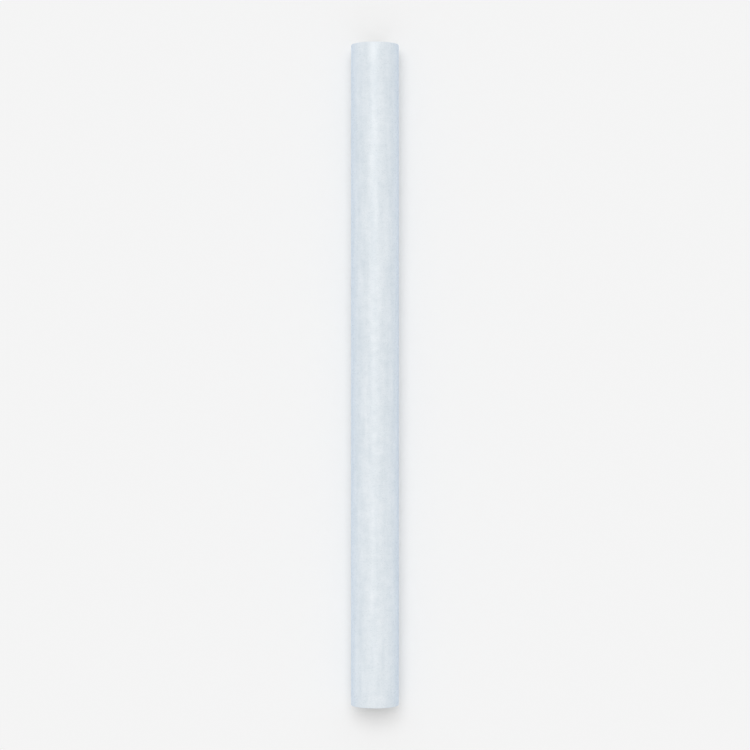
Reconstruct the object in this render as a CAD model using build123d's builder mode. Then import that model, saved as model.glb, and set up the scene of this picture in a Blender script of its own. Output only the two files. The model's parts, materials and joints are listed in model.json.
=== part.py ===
"""Clip-on reflector for a bicycle spoke.

A slotted plastic extrusion snaps over the spoke, and retroreflective film is bonded round
its outside. The origin is on the spoke's axis, halfway along the reflector. +Y runs along
the spoke. The slot faces -Z, so that the reflector lies on the two film edges beside it.
"""

import os
from math import radians, sqrt, tan

from build123d import *

# Driving dimensions, in millimetres and degrees
LENGTH = 75.0  # the extrusion and its film are cut to length together
SPOKE_DIAMETER = 2.0  # the plain-gauge spoke that the jaws close round
SNAP = 0.5  # the throat is this much narrower than the spoke
MOUTH_CLEARANCE = 0.3  # the funnel's outer end is this much wider than the spoke
JAW_WALL = 0.4
FLEX_GAP = 0.6  # room behind the jaws, where they spread as the spoke snaps in
RING_WALL = 0.5
TIP_ANGLE = 80.0  # opening between the two jaw tips, seen from the spoke's axis
FILM_THICKNESS = 0.2  # film and adhesive together
LIP_ROUND = 0.2  # on the edges of the slot
THROAT_ROUND = 0.2
ELBOW_ROUND = 0.3  # back of each jaw, where it turns round the seat
ROOT_ROUND = FLEX_GAP / 3  # inner corner, where each jaw leaves the ring
TIP_ROUND = 0.45 * JAW_WALL  # almost a half circle

# The section grows outwards from the spoke
SEAT_RADIUS = SPOKE_DIAMETER / 2
JAW_RADIUS = SEAT_RADIUS + JAW_WALL
RING_INNER_RADIUS = JAW_RADIUS + FLEX_GAP
CLIP_RADIUS = RING_INNER_RADIUS + RING_WALL
FILM_RADIUS = CLIP_RADIUS + FILM_THICKNESS
THROAT_HALF_WIDTH = (SPOKE_DIAMETER - SNAP) / 2
THROAT_DEPTH = sqrt(SEAT_RADIUS**2 - THROAT_HALF_WIDTH**2)
MOUTH_HALF_WIDTH = (SPOKE_DIAMETER + MOUTH_CLEARANCE) / 2
TIP_HALF_WIDTH = CLIP_RADIUS * tan(radians(TIP_ANGLE / 2))

# Keyhole that the spoke passes through: a funnel down to the throat, then the round seat
with BuildSketch() as keyhole:
    with BuildLine():
        Polyline(
            (-MOUTH_HALF_WIDTH, -FILM_RADIUS),
            (-THROAT_HALF_WIDTH, -THROAT_DEPTH),
            (THROAT_HALF_WIDTH, -THROAT_DEPTH),
            (MOUTH_HALF_WIDTH, -FILM_RADIUS),
            close=True,
        )
    make_face()
    Circle(SEAT_RADIUS)

# Two jaws: the keyhole grown by one wall, and open between the tips
with BuildSketch() as jaws:
    offset(keyhole.sketch, amount=JAW_WALL)
    elbows = jaws.vertices().group_by(Axis.Y)[-1]
    fillet(elbows, ELBOW_ROUND)
    Circle(CLIP_RADIUS, mode=Mode.INTERSECT)
    add(keyhole.sketch, mode=Mode.SUBTRACT)
    throat_corners = jaws.vertices().group_by(SortBy.DISTANCE)[0]
    fillet(throat_corners, THROAT_ROUND)
    with BuildLine():
        Polyline((0, 0), (TIP_HALF_WIDTH, CLIP_RADIUS), (-TIP_HALF_WIDTH, CLIP_RADIUS), close=True)
    make_face(mode=Mode.SUBTRACT)
    inner_tips, outer_tips = jaws.vertices().group_by(Axis.Y)[-2:]
    fillet(inner_tips + outer_tips, TIP_ROUND)

# The slotted ring and its jaws are one extrusion
with BuildPart() as spoke_clip:
    with BuildSketch(Plane.XZ) as section:
        Circle(CLIP_RADIUS)
        Circle(RING_INNER_RADIUS, mode=Mode.SUBTRACT)
        add(keyhole.sketch, mode=Mode.SUBTRACT)
        add(jaws.sketch)
        roots = section.vertices().group_by(SortBy.DISTANCE)[-2]
        fillet(roots, ROOT_ROUND)
        lips = section.vertices().group_by(SortBy.DISTANCE)[-1]
        fillet(lips, LIP_ROUND)
    extrude(amount=LENGTH / 2, both=True)
spoke_clip.part.label = "spoke_clip"

# The film covers the outside of the ring, from one lip of the slot to the other
with BuildPart() as reflective_film:
    outside = spoke_clip.faces().sort_by(SortBy.AREA)[-1]
    thicken(outside, amount=FILM_THICKNESS)
reflective_film.part.label = "reflective_film"

os.makedirs("parts", exist_ok=True)
export_step(spoke_clip.part, "parts/spoke_clip.step")
export_step(reflective_film.part, "parts/reflective_film.step")
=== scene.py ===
"""Look of a clip-on bicycle spoke reflector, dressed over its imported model.

The reflector lies with its slot down and is seen from straight above. Every place is in
metres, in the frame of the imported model: +Y runs along the spoke and +Z away from the slot.
"""

import json
import logging
import math
from dataclasses import dataclass, field
from enum import Enum
from typing import Any

import bpy
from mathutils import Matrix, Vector


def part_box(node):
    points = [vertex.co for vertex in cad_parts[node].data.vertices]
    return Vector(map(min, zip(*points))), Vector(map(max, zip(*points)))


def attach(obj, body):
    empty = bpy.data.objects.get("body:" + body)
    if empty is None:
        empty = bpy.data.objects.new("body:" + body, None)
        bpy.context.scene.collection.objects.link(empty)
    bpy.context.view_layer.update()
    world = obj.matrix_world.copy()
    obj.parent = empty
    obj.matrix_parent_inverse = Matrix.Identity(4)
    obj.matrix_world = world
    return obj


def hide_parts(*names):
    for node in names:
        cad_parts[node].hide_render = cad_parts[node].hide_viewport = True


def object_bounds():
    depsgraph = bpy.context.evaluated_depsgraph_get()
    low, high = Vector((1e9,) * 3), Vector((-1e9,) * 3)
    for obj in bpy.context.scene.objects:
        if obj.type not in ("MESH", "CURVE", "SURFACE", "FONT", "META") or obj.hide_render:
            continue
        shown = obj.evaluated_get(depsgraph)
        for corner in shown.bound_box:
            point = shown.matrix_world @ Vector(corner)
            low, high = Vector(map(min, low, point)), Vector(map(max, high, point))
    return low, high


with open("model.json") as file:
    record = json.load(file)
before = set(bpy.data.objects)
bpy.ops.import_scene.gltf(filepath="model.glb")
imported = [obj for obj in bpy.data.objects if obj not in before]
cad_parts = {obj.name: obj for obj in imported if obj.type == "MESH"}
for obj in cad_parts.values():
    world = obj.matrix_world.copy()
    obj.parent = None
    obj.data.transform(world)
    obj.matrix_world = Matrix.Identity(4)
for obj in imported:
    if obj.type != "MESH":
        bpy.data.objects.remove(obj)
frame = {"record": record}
CAD_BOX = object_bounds()

Sockets = dict[str, bpy.types.NodeSocket]
Place = bpy.types.NodeSocket | tuple[float, float, float]
Corners = tuple[tuple[float, float], tuple[float, float]]

MM = 0.001
BODY = "root"
BAKE_MAP = "OFBake"  # name of the map that each piece is laid out on for baking
AXIS = Vector((0, 0))  # of the spoke, in the plane of a section
TOP = Vector((0, 1))  # away from the slot
LOG = logging.getLogger("spoke_reflector")


def linear(colour: str) -> tuple[float, float, float, float]:
    """Turns an sRGB hex colour into the linear colour that a node takes.

    Args:
        colour: such as "#D6DFE8".

    Returns:
        Linear red, green and blue, and an alpha of 1.
    """
    shares = [int(colour[i:i + 2], 16) / 255 for i in (1, 3, 5)]
    red, green, blue = [s / 12.92 if s <= 0.04045 else ((s + 0.055) / 1.055) ** 2.4 for s in shares]
    return red, green, blue, 1.0


def add_node(
    tree: bpy.types.NodeTree,
    kind: str,
    inputs: dict[str | int, Any] | None = None,
    **settings: Any,
) -> Sockets:
    """Adds a node to a tree, with its settings, its values and its links.

    Args:
        tree: shader or geometry tree that gets the node.
        kind: Blender's name for the type of node.
        inputs: for each input, by name or number, a value, an output to link, or a list of outputs.
        **settings: properties of the node itself.

    Returns:
        The node's outputs by name.
    """
    node = tree.nodes.new(kind)
    for name, value in settings.items():
        setattr(node, name, value)
    shown = [s for s in node.inputs if s.enabled]
    for key, value in (inputs or {}).items():
        socket = shown[key] if isinstance(key, int) else next(s for s in shown if s.name == key)
        for source in value if isinstance(value, list) else [value]:
            if isinstance(source, bpy.types.NodeSocket):
                tree.links.new(source, socket)
            else:
                socket.default_value = source
    return {s.name: s for s in node.outputs if s.enabled}


def new_material(name: str) -> tuple[bpy.types.Material, bpy.types.NodeTree]:
    """Makes an empty material.

    Args:
        name: what the real material is and how its surface was made.

    Returns:
        The material and its node tree, which has no nodes yet.
    """
    material = bpy.data.materials.new(name)
    material.use_nodes = True
    material.node_tree.nodes.clear()
    return material, material.node_tree


@dataclass(frozen=True)
class BeadedFilm:
    """Glass-bead retroreflective film.

    Tiny glass beads over a silvered backing send light back to where it came from, so the
    film looks evenly pale, and a little blue where it turns away. Each bead catches slightly
    more or less light than its neighbours, which gives a fine grain. The coating was drawn on
    lengthwise, which leaves faint streaks, and the clear top layer has a soft gloss.
    """

    shade: str = "#CDD6DB"
    light: str = "#F8FAFB"
    bead: float = 0.12 * MM  # real beads are about 0.05 mm: drawn coarser, so that they show
    bead_height: float = 0.014 * MM
    bead_share: float = 0.14  # of the change in tone
    mottle: float = 0.9 * MM
    streak_width: float = 0.7 * MM
    streak_length: float = 6.0 * MM
    streak_share: float = 0.6  # of the change in tone that isn't the beads'
    peel: float = 1.2 * MM  # slight orange peel, from the adhesive under the film
    peel_height: float = 0.06 * MM
    octaves: float = 1.0  # of finer detail in each noise
    smoothest: float = 0.26
    roughest: float = 0.42
    ior: float = 1.49  # of the acrylic top layer
    coat: float = 0.2
    coat_roughness: float = 0.3
    sheen: float = 0.35
    sheen_roughness: float = 0.75
    sheen_tint: str = "#82C6FF"

    def material(self) -> bpy.types.Material:
        """Builds the film's material, on Object coordinates.

        Returns:
            The material.
        """
        material, tree = new_material("glass_bead_reflective_film")
        place = add_node(tree, "ShaderNodeTexCoord")["Object"]

        # Tone: clouds and lengthwise streaks, with the beads' grain over them
        beads = add_node(tree, "ShaderNodeTexVoronoi", {"Vector": place, "Scale": 1 / self.bead})
        bead = add_node(tree, "ShaderNodeSeparateColor", {"Color": beads["Color"]})["Red"]
        mottle = add_node(tree, "ShaderNodeTexNoise", {
            "Vector": place,
            "Scale": 1 / self.mottle,
            "Detail": self.octaves,
        })
        drawn = add_node(tree, "ShaderNodeMapping", {
            "Vector": place,
            "Scale": (1 / self.streak_width, 1 / self.streak_length, 1 / self.streak_width),
        })
        streaks = add_node(tree, "ShaderNodeTexNoise", {
            "Vector": drawn["Vector"],
            "Scale": 1.0,
            "Detail": self.octaves,
        })
        cloudy = add_node(tree, "ShaderNodeMix", {
            "Factor": self.streak_share,
            "A": mottle["Fac"],
            "B": streaks["Fac"],
        })
        tone = add_node(tree, "ShaderNodeMix", {
            "Factor": self.bead_share,
            "A": cloudy["Result"],
            "B": bead,
        })
        colour = add_node(tree, "ShaderNodeMix", {
            "Factor": tone["Result"],
            "A": linear(self.shade),
            "B": linear(self.light),
        }, data_type="RGBA")

        # Relief and gloss: a slow orange peel, and the round tops of the beads
        peel = add_node(tree, "ShaderNodeTexNoise", {
            "Vector": place,
            "Scale": 1 / self.peel,
            "Detail": self.octaves,
        })
        peeled = add_node(tree, "ShaderNodeBump", {"Height": peel["Fac"], "Distance": self.peel_height})
        beaded = add_node(tree, "ShaderNodeBump", {
            "Height": beads["Distance"],
            "Distance": self.bead_height,
            "Normal": peeled["Normal"],
        }, invert=True)
        roughness = add_node(tree, "ShaderNodeMapRange", {
            "Value": bead,
            "To Min": self.smoothest,
            "To Max": self.roughest,
        })
        surface = add_node(tree, "ShaderNodeBsdfPrincipled", {
            "Base Color": colour["Result"],
            "Roughness": roughness["Result"],
            "IOR": self.ior,
            "Coat Weight": self.coat,
            "Coat Roughness": self.coat_roughness,
            "Coat IOR": self.ior,
            "Sheen Weight": self.sheen,
            "Sheen Roughness": self.sheen_roughness,
            "Sheen Tint": linear(self.sheen_tint),
            "Normal": beaded["Normal"],
        })
        add_node(tree, "ShaderNodeOutputMaterial", {"Surface": surface["BSDF"]})
        return material


@dataclass(frozen=True)
class MarkedPlastic:
    """Pale plastic with the fine marks of the tool that made its surface.

    The marks run one way and catch the light as a soft grain. Light also sinks in a little
    before it comes out again, which gives a milky look and softens the shadows in the slot.
    """

    name: str
    shade: str
    light: str
    mark: tuple[float, float, float]  # size of a mark along X, Y and Z
    mark_height: float
    roughness: float
    octaves: float = 3.0  # of finer marks among the marks
    ior: float = 1.53  # of ABS
    milkiness: float = 0.35  # share of the light that sinks in
    depth: float = 0.5 * MM  # how far it travels inside
    tint: tuple[float, float, float] = (1.0, 1.0, 1.0)  # share of that depth, by colour

    def material(self) -> bpy.types.Material:
        """Builds the plastic's material, on Object coordinates.

        Returns:
            The material.
        """
        material, tree = new_material(self.name)
        place = add_node(tree, "ShaderNodeTexCoord")["Object"]
        drawn = add_node(tree, "ShaderNodeMapping", {
            "Vector": place,
            "Scale": tuple(1 / size for size in self.mark),
        })
        marks = add_node(tree, "ShaderNodeTexNoise", {
            "Vector": drawn["Vector"],
            "Scale": 1.0,
            "Detail": self.octaves,
        })
        colour = add_node(tree, "ShaderNodeMix", {
            "Factor": marks["Fac"],
            "A": linear(self.shade),
            "B": linear(self.light),
        }, data_type="RGBA")
        scored = add_node(tree, "ShaderNodeBump", {"Height": marks["Fac"], "Distance": self.mark_height})
        surface = add_node(tree, "ShaderNodeBsdfPrincipled", {
            "Base Color": colour["Result"],
            "Roughness": self.roughness,
            "IOR": self.ior,
            "Subsurface Weight": self.milkiness,
            "Subsurface Radius": self.tint,
            "Subsurface Scale": self.depth,
            "Normal": scored["Normal"],
        })
        add_node(tree, "ShaderNodeOutputMaterial", {"Surface": surface["BSDF"]})
        return material


@dataclass(frozen=True)
class StudioPaper:
    """Matte paper, which gives an even tone with no reflection and keeps the shadow soft."""

    colour: str = "#F6F6F6"

    def material(self) -> bpy.types.Material:
        """Builds the paper's material.

        Returns:
            The material.
        """
        material, tree = new_material("matte_studio_paper")
        surface = add_node(tree, "ShaderNodeBsdfDiffuse", {"Color": linear(self.colour)})
        add_node(tree, "ShaderNodeOutputMaterial", {"Surface": surface["BSDF"]})
        return material


class Corner(Enum):
    """Whether a round stretch of an outline bulges out of the material or hollows it."""

    OUTER = 1
    INNER = -1


def round_centre(reach: float, along: Vector, offset: float) -> Vector:
    """Finds the centre of a round that touches a circle about the axis and a straight wall.

    Args:
        reach: distance of the centre from the axis.
        along: direction of the wall, away from the axis.
        offset: distance of the centre from the wall's parallel through the axis, to its left.

    Returns:
        The centre, in the plane of the section.
    """
    return along.orthogonal() * offset + along * math.sqrt(reach**2 - offset**2)


@dataclass
class Outline:
    """Right half of a section that is the same left and right, as a chain of round stretches.

    It runs clockwise, from the top of the outside to the top of the inside. Each point has
    the direction that faces out of the material, and says whether it is on a raw edge.
    """

    smoothness: float = 0.0004 * MM  # largest gap between a chord and its arc
    points: list[Vector] = field(default_factory=list)
    outward: list[Vector] = field(default_factory=list)
    raw: list[bool] = field(default_factory=list)

    def arc(
        self,
        centre: Vector,
        radius: float,
        start: Vector,
        end: Vector,
        corner: Corner = Corner.OUTER,
        raw: bool = False,
    ) -> None:
        """Adds a round stretch, after a straight run from the last point.

        Args:
            centre: middle of the stretch's circle.
            radius: of the circle.
            start: direction from the centre to the first point.
            end: direction from the centre to the last point.
            corner: whether the stretch bulges or hollows.
            raw: whether it is on a raw edge.
        """
        # Angles run clockwise from the top
        first = math.atan2(*start)
        sweep = (math.atan2(*end) - first) * corner.value % math.tau
        steps = math.ceil(sweep / (2 * math.acos(1 - self.smoothness / radius)))
        for step in range(steps + 1):
            angle = first + corner.value * sweep * step / steps
            direction = Vector((math.sin(angle), math.cos(angle)))
            self.points.append(centre + direction * radius)
            self.outward.append(direction * corner.value)
            self.raw.append(raw)

    def mesh(self, name: str) -> bpy.types.Mesh:
        """Makes the whole closed outline, both halves, as a loop of edges in the XY plane.

        The loop starts and ends at the top of the inside, which is out of sight.

        Args:
            name: of the mesh.

        Returns:
            A mesh whose points carry the attributes "outward", "raw" and "ahead", which is the
            share of the loop's length that is left from there.
        """
        mirror = Vector((-1, 1))
        points = [p * mirror for p in self.points[:0:-1]] + self.points[:-1]
        outward = [d * mirror for d in self.outward[:0:-1]] + self.outward[:-1]
        raw = self.raw[:0:-1] + self.raw[:-1]
        count = len(points)
        steps = [(points[(i + 1) % count] - points[i]).length for i in range(count)]
        mesh = bpy.data.meshes.new(name)
        mesh.from_pydata([p.to_3d() for p in points], [(i, (i + 1) % count) for i in range(count)], [])
        facing = mesh.attributes.new("outward", "FLOAT_VECTOR", "POINT")
        facing.data.foreach_set("vector", [c for d in outward for c in d.to_3d()])
        edge = mesh.attributes.new("raw", "FLOAT", "POINT")
        edge.data.foreach_set("value", [float(r) for r in raw])
        ahead = mesh.attributes.new("ahead", "FLOAT", "POINT")
        ahead.data.foreach_set("value", [sum(steps[i:]) / sum(steps) for i in range(count)])
        return mesh


@dataclass
class ProfileDrawing:
    """Draws a closed outline out to a length and cuts it square, with slightly eased ends.

    The piece gets a map for baking. The skin lies flat on it, slit open where the
    outline starts, so that no seam shows, and the two cuts lie side by side above the skin.
    """

    cut_round: float = 0.04 * MM
    cut_steps: int = 4  # faces across each eased end
    spans: int = 30  # faces along the straight length
    weld: float = 0.0001 * MM  # points closer than this are one
    map_skin: float = 0.66  # height of the skin on the map, as a share of the map's side
    map_edge: float = 0.006  # free space round the skin and each cut, as such a share
    group: bpy.types.NodeTree = field(init=False)

    def __post_init__(self) -> None:
        """Builds the tree once, for every piece that is drawn."""
        self.group = self.tree()

    def tree(self) -> bpy.types.NodeTree:
        """Builds the Geometry Nodes tree, with its sizes as named inputs.

        Returns:
            The tree. It takes an outline in the XY plane and gives a closed solid along Y.
        """
        tree = bpy.data.node_groups.new("drawn_profile", "GeometryNodeTree")
        for name, kind in (
            ("Outline", "NodeSocketGeometry"),
            ("Length", "NodeSocketFloat"),
            ("Cut Round", "NodeSocketFloat"),
            ("Cut Steps", "NodeSocketInt"),
            ("Spans", "NodeSocketInt"),
            ("Weld", "NodeSocketFloat"),
            ("Finish", "NodeSocketMaterial"),
            ("Cut Finish", "NodeSocketMaterial"),
        ):
            tree.interface.new_socket(name, in_out="INPUT", socket_type=kind)
        tree.interface.new_socket("Solid", in_out="OUTPUT", socket_type="NodeSocketGeometry")
        given = add_node(tree, "NodeGroupInput")
        sides = [self.skin(tree, given), *self.cuts(tree, given)]
        joined = add_node(tree, "GeometryNodeJoinGeometry", {"Geometry": sides})["Geometry"]
        closed = add_node(tree, "GeometryNodeMergeByDistance", {
            "Geometry": joined,
            "Distance": given["Weld"],
        })["Geometry"]
        real = add_node(tree, "GeometryNodeRealizeInstances", {"Geometry": closed})["Geometry"]

        # A face with most of its corners on a raw edge gets the finish of the cuts
        raw = add_node(tree, "GeometryNodeInputNamedAttribute", {"Name": "raw_edge"}, data_type="FLOAT")
        is_raw = add_node(tree, "FunctionNodeCompare", {
            "A": raw["Attribute"],
            "B": 0.5,
        }, operation="GREATER_THAN")["Result"]
        solid = add_node(tree, "GeometryNodeSetMaterial", {
            "Geometry": real,
            "Selection": is_raw,
            "Material": given["Cut Finish"],
        })["Geometry"]
        add_node(tree, "NodeGroupOutput", {"Solid": solid})
        return tree

    def skin(self, tree: bpy.types.NodeTree, given: Sockets) -> bpy.types.NodeSocket:
        """Adds the nodes that draw the outline out along Y.

        Args:
            tree: gets the nodes.
            given: inputs of the tree.

        Returns:
            The skin in its finish, open at both ends, with its raw edges marked.
        """
        # A grid has a column for each outline point and one more, which meets the first
        loop = add_node(tree, "GeometryNodeAttributeDomainSize", {
            "Geometry": given["Outline"],
        })["Point Count"]
        columns = add_node(tree, "FunctionNodeIntegerMath", {0: loop, 1: 1}, operation="ADD")["Value"]
        index = add_node(tree, "GeometryNodeInputIndex")["Index"]
        row = add_node(tree, "FunctionNodeIntegerMath", {
            0: index,
            1: columns,
        }, operation="DIVIDE_FLOOR")["Value"]
        place = add_node(tree, "FunctionNodeIntegerMath", {
            0: index,
            1: columns,
        }, operation="MODULO")["Value"]
        column = add_node(tree, "FunctionNodeIntegerMath", {
            0: place,
            1: loop,
        }, operation="MODULO")["Value"]
        position = add_node(tree, "GeometryNodeInputPosition")["Position"]
        outward, raw, ahead = [
            add_node(tree, "GeometryNodeInputNamedAttribute", {"Name": name}, data_type=kind)["Attribute"]
            for name, kind in (("outward", "FLOAT_VECTOR"), ("raw", "FLOAT"), ("ahead", "FLOAT"))
        ]

        # The last column is past the outline's points, so it samples 0: nothing is ahead of it
        on_outline, facing, on_edge, remaining = [
            add_node(tree, "GeometryNodeSampleIndex", {
                "Geometry": given["Outline"],
                "Value": value,
                "Index": where,
            }, data_type=kind)["Value"]
            for value, where, kind in (
                (position, column, "FLOAT_VECTOR"),
                (outward, column, "FLOAT_VECTOR"),
                (raw, column, "FLOAT"),
                (ahead, place, "FLOAT"),
            )
        ]

        # Each point goes to its place on the outline, drawn in at the ends
        rows, along, inset = self.rows(tree, given, row)
        drawn_in = add_node(tree, "ShaderNodeVectorMath", {
            0: facing,
            1: inset,
            2: on_outline,
        }, operation="MULTIPLY_ADD")["Vector"]
        flat = add_node(tree, "ShaderNodeSeparateXYZ", {"Vector": drawn_in})
        spot = add_node(tree, "ShaderNodeCombineXYZ", {
            "X": flat["X"],
            "Y": along,
            "Z": flat["Y"],
        })["Vector"]
        grid = add_node(tree, "GeometryNodeMeshGrid", {
            "Vertices X": rows,
            "Vertices Y": columns,
        })["Mesh"]
        placed = add_node(tree, "GeometryNodeSetPosition", {
            "Geometry": grid,
            "Position": spot,
        })["Geometry"]
        marked = add_node(tree, "GeometryNodeStoreNamedAttribute", {
            "Geometry": placed,
            "Name": "raw_edge",
            "Value": on_edge,
        }, data_type="FLOAT", domain="POINT")["Geometry"]

        # On the map, the length runs across and the outline upwards
        share = add_node(tree, "ShaderNodeMath", {
            0: along,
            1: given["Length"],
        }, operation="DIVIDE")["Value"]
        unrolled = add_node(tree, "ShaderNodeCombineXYZ", {"X": share, "Y": remaining})["Vector"]
        mapped = self.lay_out(
            tree,
            marked,
            unrolled,
            ((-0.5, 0.0, 0.0), (0.5, 1.0, 0.0)),
            ((0.0, 0.0), (1.0, self.map_skin)),
        )
        smooth = add_node(tree, "GeometryNodeSetShadeSmooth", {
            "Geometry": mapped,
            "Shade Smooth": True,
        })["Geometry"]

        # A grid comes with one empty material slot, which gets the finish
        return add_node(tree, "GeometryNodeReplaceMaterial", {
            "Geometry": smooth,
            "New": given["Finish"],
        })["Geometry"]

    def rows(
        self,
        tree: bpy.types.NodeTree,
        given: Sockets,
        row: bpy.types.NodeSocket,
    ) -> tuple[bpy.types.NodeSocket, bpy.types.NodeSocket, bpy.types.NodeSocket]:
        """Adds the nodes that place the rows of the skin, from the end towards +Y to the other.

        The rows of each end follow a quarter circle, which eases the skin into the cut.

        Args:
            tree: gets the nodes.
            given: inputs of the tree.
            row: number of a point's row.

        Returns:
            How many rows there are, a row's place along Y, and how far it is drawn in, as a
            negative length.
        """
        eased = given["Cut Steps"]
        straight_end = add_node(tree, "FunctionNodeIntegerMath", {
            0: eased,
            1: given["Spans"],
        }, operation="ADD")["Value"]
        last = add_node(tree, "FunctionNodeIntegerMath", {
            0: straight_end,
            1: eased,
        }, operation="ADD")["Value"]
        count = add_node(tree, "FunctionNodeIntegerMath", {0: last, 1: 1}, operation="ADD")["Value"]
        first_turn, last_turn, middle = [
            add_node(tree, "ShaderNodeMapRange", {
                "Value": row,
                "From Min": first_row,
                "From Max": last_row,
                "To Min": at_first,
                "To Max": at_last,
            })["Result"]
            for first_row, last_row, at_first, at_last in (
                (0.0, eased, math.pi / 2, 0.0),
                (straight_end, last, 0.0, math.pi / 2),
                (eased, straight_end, 1.0, -1.0),
            )
        ]

        # The turn of the circle says how far in, and the two ends' turns how far along
        ease = given["Cut Round"]
        turn = add_node(tree, "ShaderNodeMath", {0: first_turn, 1: last_turn}, operation="ADD")["Value"]
        level = add_node(tree, "ShaderNodeMath", {0: turn}, operation="COSINE")["Value"]
        fall = add_node(tree, "ShaderNodeMath", {0: level, 1: 1.0}, operation="SUBTRACT")["Value"]
        inset = add_node(tree, "ShaderNodeMath", {0: fall, 1: ease}, operation="MULTIPLY")["Value"]
        first_run = add_node(tree, "ShaderNodeMath", {0: first_turn}, operation="SINE")["Value"]
        last_run = add_node(tree, "ShaderNodeMath", {0: last_turn}, operation="SINE")["Value"]
        end_run = add_node(tree, "ShaderNodeMath", {
            0: first_run,
            1: last_run,
        }, operation="SUBTRACT")["Value"]
        half = add_node(tree, "ShaderNodeMath", {
            0: given["Length"],
            1: 0.5,
        }, operation="MULTIPLY")["Value"]
        reach = add_node(tree, "ShaderNodeMath", {0: half, 1: ease}, operation="SUBTRACT")["Value"]
        run = add_node(tree, "ShaderNodeMath", {0: middle, 1: reach}, operation="MULTIPLY")["Value"]
        along = add_node(tree, "ShaderNodeMath", {
            0: end_run,
            1: ease,
            2: run,
        }, operation="MULTIPLY_ADD")["Value"]
        return count, along, inset

    def cuts(self, tree: bpy.types.NodeTree, given: Sockets) -> list[bpy.types.NodeSocket]:
        """Adds the nodes that close the two ends.

        Args:
            tree: gets the nodes.
            given: inputs of the tree.

        Returns:
            The cut faces towards -Y and +Y: the outline, drawn in by the ease and filled.
        """
        outward = add_node(tree, "GeometryNodeInputNamedAttribute", {
            "Name": "outward",
        }, data_type="FLOAT_VECTOR")["Attribute"]
        away = add_node(tree, "ShaderNodeMath", {
            0: given["Cut Round"],
            1: -1.0,
        }, operation="MULTIPLY")["Value"]
        inset = add_node(tree, "ShaderNodeVectorMath", {
            "Vector": outward,
            "Scale": away,
        }, operation="SCALE")["Vector"]
        rim = add_node(tree, "GeometryNodeSetPosition", {
            "Geometry": given["Outline"],
            "Offset": inset,
        })["Geometry"]
        curve = add_node(tree, "GeometryNodeMeshToCurve", {"Mesh": rim})["Curve"]
        filled = add_node(tree, "GeometryNodeFillCurve", {"Curve": curve}, mode="TRIANGLES")["Mesh"]
        level = add_node(tree, "GeometryNodeSetShadeSmooth", {
            "Geometry": filled,
            "Shade Smooth": False,
        })["Geometry"]
        sawn = add_node(tree, "GeometryNodeSetMaterial", {
            "Geometry": level,
            "Material": given["Cut Finish"],
        })["Geometry"]
        position = add_node(tree, "GeometryNodeInputPosition")["Position"]
        flat = add_node(tree, "ShaderNodeSeparateXYZ", {"Vector": position})
        box = add_node(tree, "GeometryNodeBoundBox", {"Geometry": given["Outline"]})

        # The cut towards -Y lies in the left half of the map, and the other in the right half
        ends = []
        for share, left in ((-0.5, 0.0), (0.5, 0.5)):
            room = (left, self.map_skin), (left + 0.5, 1.0)
            mapped = self.lay_out(tree, sawn, position, (box["Min"], box["Max"]), room)
            along = add_node(tree, "ShaderNodeMath", {
                0: given["Length"],
                1: share,
            }, operation="MULTIPLY")["Value"]
            spot = add_node(tree, "ShaderNodeCombineXYZ", {
                "X": flat["X"],
                "Y": along,
                "Z": flat["Y"],
            })["Vector"]
            ends.append(add_node(tree, "GeometryNodeSetPosition", {
                "Geometry": mapped,
                "Position": spot,
            })["Geometry"])
        near, far = ends
        return [near, add_node(tree, "GeometryNodeFlipFaces", {"Mesh": far})["Mesh"]]

    def lay_out(
        self,
        tree: bpy.types.NodeTree,
        part: bpy.types.NodeSocket,
        place: bpy.types.NodeSocket,
        span: tuple[Place, Place],
        room: Corners,
    ) -> bpy.types.NodeSocket:
        """Adds the nodes that lay one part of a piece out on its map.

        Args:
            tree: gets the nodes.
            part: the skin or a cut.
            place: vector by which the part's points are laid out.
            span: lowest and highest place.
            room: lower left and upper right corner of the part's room on the map.

        Returns:
            The part with its share of the map.
        """
        (left, bottom), (right, top) = room
        laid_out = add_node(tree, "ShaderNodeMapRange", {
            "Vector": place,
            "From Min": span[0],
            "From Max": span[1],
            "To Min": (left + self.map_edge, bottom + self.map_edge, 0.0),
            "To Max": (right - self.map_edge, top - self.map_edge, 0.0),
        }, data_type="FLOAT_VECTOR")["Vector"]
        on_points = add_node(tree, "GeometryNodeFieldOnDomain", {
            "Value": laid_out,
        }, data_type="FLOAT_VECTOR", domain="POINT")["Value"]
        return add_node(tree, "GeometryNodeStoreNamedAttribute", {
            "Geometry": part,
            "Name": BAKE_MAP,
            "Value": on_points,
        }, data_type="FLOAT2", domain="CORNER")["Geometry"]

    def draw(
        self,
        name: str,
        outline: Outline,
        length: float,
        finish: bpy.types.Material,
        cut_finish: bpy.types.Material,
    ) -> bpy.types.Object:
        """Draws one piece and leaves it as a plain mesh.

        Args:
            name: of the piece.
            outline: its section.
            length: along Y.
            finish: material of its skin.
            cut_finish: material of its cut faces and raw edges.

        Returns:
            The piece, at the origin, with no modifier.
        """
        piece = bpy.data.objects.new(name, outline.mesh(name + "_outline"))
        bpy.context.scene.collection.objects.link(piece)
        modifier = piece.modifiers.new("drawing", "NODES")
        modifier.node_group = self.group
        values = {
            "Length": length,
            "Cut Round": self.cut_round,
            "Cut Steps": self.cut_steps,
            "Spans": self.spans,
            "Weld": self.weld,
            "Finish": finish,
            "Cut Finish": cut_finish,
        }
        for socket in self.group.interface.items_tree:
            if socket.name in values:
                modifier[socket.identifier] = values[socket.name]
        evaluated = piece.evaluated_get(bpy.context.evaluated_depsgraph_get())
        mesh = bpy.data.meshes.new_from_object(evaluated)
        mesh.name = name
        mesh.attributes.remove(mesh.attributes["raw_edge"])
        piece.modifiers.remove(modifier)
        piece.data = mesh
        return piece


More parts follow.
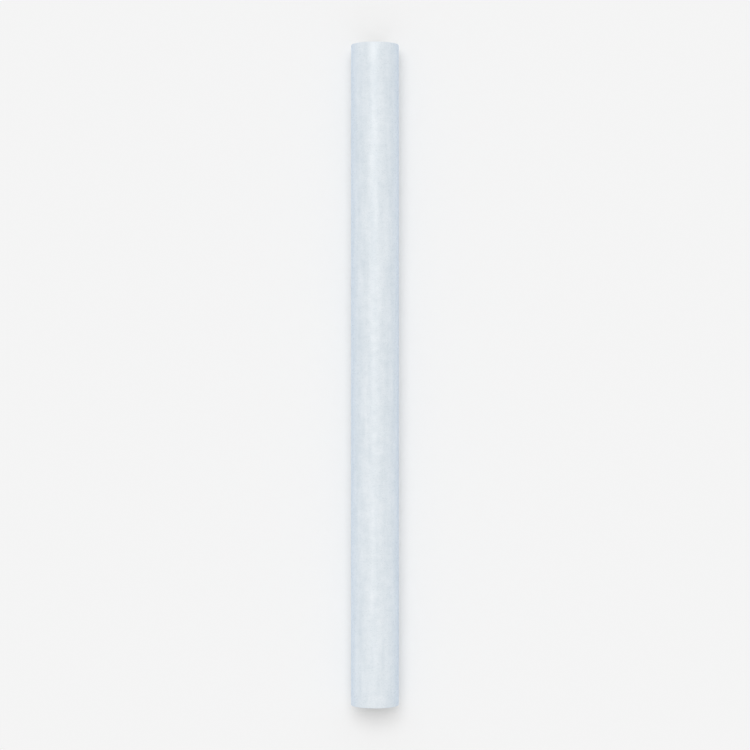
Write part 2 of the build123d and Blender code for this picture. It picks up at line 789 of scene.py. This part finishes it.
@dataclass
class SpokeClip:
    """Slotted plastic extrusion with two spring jaws that close round the spoke."""

    snap: float = 0.5 * MM  # the throat is this much narrower than the spoke
    mouth_clearance: float = 0.3 * MM
    jaw_wall: float = 0.4 * MM
    ring_wall: float = 0.5 * MM
    tip_angle: float = math.radians(80.0)
    lip_round: float = 0.2 * MM
    throat_round: float = 0.2 * MM
    elbow_round: float = 0.3 * MM
    root_round: float = 0.2 * MM
    tip_round: float = 0.18 * MM
    seat_radius: float = field(init=False)
    radius: float = field(init=False)
    length: float = field(init=False)
    mouth_depth: float = field(init=False)

    def __post_init__(self) -> None:
        """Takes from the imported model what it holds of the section."""
        low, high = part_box("spoke_clip")
        self.radius = high.x
        self.length = high.y - low.y
        self.mouth_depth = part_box("reflective_film")[1].x
        seat = frame["record"]["mounts"][0]
        self.seat_radius = seat["dims"]["r_mm"] * MM

    def wall(self) -> tuple[Vector, float]:
        """Works out the funnel's right wall.

        Returns:
            The wall's direction, away from the seat, and its distance from its parallel
            through the axis.
        """
        throat_x = self.seat_radius - self.snap / 2
        throat = Vector((throat_x, -math.sqrt(self.seat_radius**2 - throat_x**2)))
        mouth = Vector((self.seat_radius + self.mouth_clearance / 2, -self.mouth_depth))
        along = (mouth - throat).normalized()
        return along, throat.dot(along.orthogonal())

    def lip(self) -> Vector:
        """Finds the centre of the rounded lip beside the slot."""
        along, flank = self.wall()
        return round_centre(self.radius - self.lip_round, along, flank + self.lip_round)

    def outline(self) -> Outline:
        """Draws the section: the ring, the funnel, the seat and the jaw.

        Returns:
            The right half of the section.
        """
        along, flank = self.wall()
        left = along.orthogonal()
        back = flank + self.jaw_wall
        jaw_radius = self.seat_radius + self.jaw_wall
        inner_radius = self.radius - self.ring_wall
        tip_along = Vector((math.sin(self.tip_angle / 2), math.cos(self.tip_angle / 2)))
        tip_left = tip_along.orthogonal()
        lip = self.lip()
        throat = round_centre(self.seat_radius + self.throat_round, along, flank + self.throat_round)
        inner_tip = round_centre(self.seat_radius + self.tip_round, tip_along, -self.tip_round)
        outer_tip = round_centre(jaw_radius - self.tip_round, tip_along, -self.tip_round)
        elbow = round_centre(jaw_radius + self.elbow_round, along, back + self.elbow_round)
        root = round_centre(inner_radius - self.root_round, along, back + self.root_round)
        outline = Outline()
        outline.arc(AXIS, self.radius, TOP, lip)
        outline.arc(lip, self.lip_round, lip, -left)
        outline.arc(throat, self.throat_round, -left, -throat)
        outline.arc(AXIS, self.seat_radius, throat, inner_tip, Corner.INNER)
        outline.arc(inner_tip, self.tip_round, -inner_tip, tip_left)
        outline.arc(outer_tip, self.tip_round, tip_left, outer_tip)
        outline.arc(AXIS, jaw_radius, outer_tip, elbow)
        outline.arc(elbow, self.elbow_round, -elbow, -left, Corner.INNER)
        outline.arc(root, self.root_round, -left, root, Corner.INNER)
        outline.arc(AXIS, inner_radius, root, TOP, Corner.INNER)
        return outline

    def dress(self) -> tuple[bpy.types.Material, bpy.types.Material]:
        """Makes the two finishes of the clip.

        Returns:
            The skin, and the sawn ends.
        """
        # The die draws long fine lines, which give the skin a satin look
        skin = MarkedPlastic(
            name="extruded_abs",
            shade="#DADDDD",
            light="#E7E9E8",
            mark=(0.12 * MM, 30 * MM, 0.12 * MM),
            mark_height=0.004 * MM,
            roughness=0.42,
        )

        # The saw leaves short scratches across, which make the ends duller
        ends = MarkedPlastic(
            name="sawn_abs",
            shade="#D2D6D6",
            light="#E6E8E7",
            mark=(2.5 * MM, 0.08 * MM, 0.08 * MM),
            mark_height=0.008 * MM,
            roughness=0.6,
        )
        return skin.material(), ends.material()

    def build(self, drawing: ProfileDrawing) -> bpy.types.Object:
        """Draws the clip and puts it in the place of its solid.

        Args:
            drawing: draws the section out.

        Returns:
            The finished piece.
        """
        piece = drawing.draw("clip_extrusion", self.outline(), self.length, *self.dress())
        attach(piece, BODY)
        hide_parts("spoke_clip")
        return piece


@dataclass
class ReflectiveFilm:
    """Film bonded round the clip, from one lip of the slot to the other."""

    clip: SpokeClip
    edge_round: float = 0.05 * MM
    radius: float = field(init=False)

    def __post_init__(self) -> None:
        """Takes the film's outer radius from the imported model."""
        self.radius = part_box("reflective_film")[1].x

    def outline(self) -> Outline:
        """Draws the section: the two faces of the film and its trimmed edge at the lip.

        Returns:
            The right half of the section.
        """
        along = self.clip.lip().normalized()
        left = along.orthogonal()
        outer = round_centre(self.radius - self.edge_round, along, self.edge_round)
        inner = round_centre(self.clip.radius + self.edge_round, along, self.edge_round)
        outline = Outline()
        outline.arc(AXIS, self.radius, TOP, outer)
        outline.arc(outer, self.edge_round, outer, -left, raw=True)
        outline.arc(inner, self.edge_round, -left, -inner, raw=True)
        outline.arc(AXIS, self.clip.radius, inner, TOP, Corner.INNER)
        return outline

    def dress(self) -> tuple[bpy.types.Material, bpy.types.Material]:
        """Makes the two finishes of the film.

        Returns:
            The beaded face, and the trimmed edge.
        """
        # The knife bares the silvered backing, which makes the edge greyer than the face
        edge = MarkedPlastic(
            name="trimmed_reflective_film",
            shade="#AEB6BD",
            light="#C6CDD3",
            mark=(0.3 * MM, 0.05 * MM, 0.05 * MM),
            mark_height=0.004 * MM,
            roughness=0.55,
        )
        return BeadedFilm().material(), edge.material()

    def build(self, drawing: ProfileDrawing) -> bpy.types.Object:
        """Draws the film and puts it in the place of its solid.

        Args:
            drawing: draws the section out.

        Returns:
            The finished piece.
        """
        piece = drawing.draw("film_wrap", self.outline(), self.clip.length, *self.dress())
        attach(piece, BODY)
        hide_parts("reflective_film")
        return piece


@dataclass
class Studio:
    """Pale floor, soft light from above and a camera that looks straight down."""

    paper: StudioPaper = StudioPaper()
    paper_side: float = 40.0  # so wide that its edge is out of sight
    air: str = "#FFFFFF"
    backdrop: float = 0.9  # how bright the room looks, which is as bright as the lit floor
    fill: float = 0.64  # how much light it gives
    lamp: float = 0.37  # what the lamp adds to the fill on a face turned to it
    lamp_spread: float = math.radians(43.0)  # how large the lamp looks from the reflector
    lamp_from: tuple[float, float, float] = (-0.04, 0.22, 0.6)
    lens: float = 100.0  # in millimetres, as the sensor is
    sensor: float = 36.0
    nearest: float = 1 * MM  # that the camera sees
    share: float = 0.88  # of the picture's height that the reflector fills

    def lay_floor(self) -> bpy.types.Object:
        """Lays the floor under the reflector's lowest edge.

        Returns:
            The floor, which isn't part of the object.
        """
        half = self.paper_side / 2
        level = CAD_BOX[0].z
        corners = [(-half, -half, level), (half, -half, level), (half, half, level), (-half, half, level)]
        mesh = bpy.data.meshes.new("floor")
        mesh.from_pydata(corners, [], [range(len(corners))])
        mesh.materials.append(self.paper.material())
        floor = bpy.data.objects.new("floor", mesh)
        bpy.context.scene.collection.objects.link(floor)
        return floor

    def light(self) -> None:
        """Fills the room with even light and hangs one large soft lamp over it."""
        world = bpy.data.worlds.new("studio_air")
        bpy.context.scene.world = world
        world.use_nodes = True
        tree = world.node_tree
        tree.nodes.clear()
        rays = add_node(tree, "ShaderNodeLightPath")
        mirrored = add_node(tree, "ShaderNodeMath", {
            0: rays["Is Camera Ray"],
            1: rays["Is Glossy Ray"],
        }, operation="MAXIMUM")["Value"]
        seen = add_node(tree, "ShaderNodeMath", {
            0: mirrored,
            1: rays["Is Transmission Ray"],
        }, operation="MAXIMUM")["Value"]
        strength = add_node(tree, "ShaderNodeMapRange", {
            "Value": seen,
            "To Min": self.fill,
            "To Max": self.backdrop,
        })["Result"]
        sky = add_node(tree, "ShaderNodeBackground", {
            "Color": linear(self.air),
            "Strength": strength,
        })
        add_node(tree, "ShaderNodeOutputWorld", {"Surface": sky["Background"]})
        lamp = bpy.data.lights.new("overhead_softbox", "SUN")
        lamp.angle = self.lamp_spread
        lamp.energy = self.lamp * math.pi
        holder = bpy.data.objects.new("overhead_softbox", lamp)
        holder.rotation_euler = Vector(self.lamp_from).to_track_quat("Z", "Y").to_euler()
        bpy.context.scene.collection.objects.link(holder)

    def look(self) -> None:
        """Sets the camera straight over the reflector, its length upright, and keeps colours plain."""
        low, high = CAD_BOX
        middle = (low + high) / 2
        height = (high.y - low.y) / self.share
        camera = bpy.data.cameras.new("camera")
        camera.lens = self.lens
        camera.sensor_width = self.sensor
        camera.clip_start = self.nearest
        holder = bpy.data.objects.new("camera", camera)
        holder.location = middle + Vector((0, 0, height * self.lens / self.sensor))
        bpy.context.scene.collection.objects.link(holder)
        bpy.context.scene.camera = holder
        bpy.context.scene.view_settings.view_transform = "Standard"


def main() -> None:
    """Builds the pieces in order, then the studio round them."""
    logging.basicConfig(level=logging.INFO, format="%(message)s")
    drawing = ProfileDrawing()
    clip = SpokeClip()
    for part in (clip, ReflectiveFilm(clip)):
        piece = part.build(drawing)
        LOG.info("%s: %d faces", piece.name, len(piece.data.polygons))
    studio = Studio()
    floor = studio.lay_floor()
    LOG.info("%s at %.2f mm", floor.name, floor.data.vertices[0].co.z / MM)
    studio.light()
    studio.look()


if __name__ == "__main__":
    main()
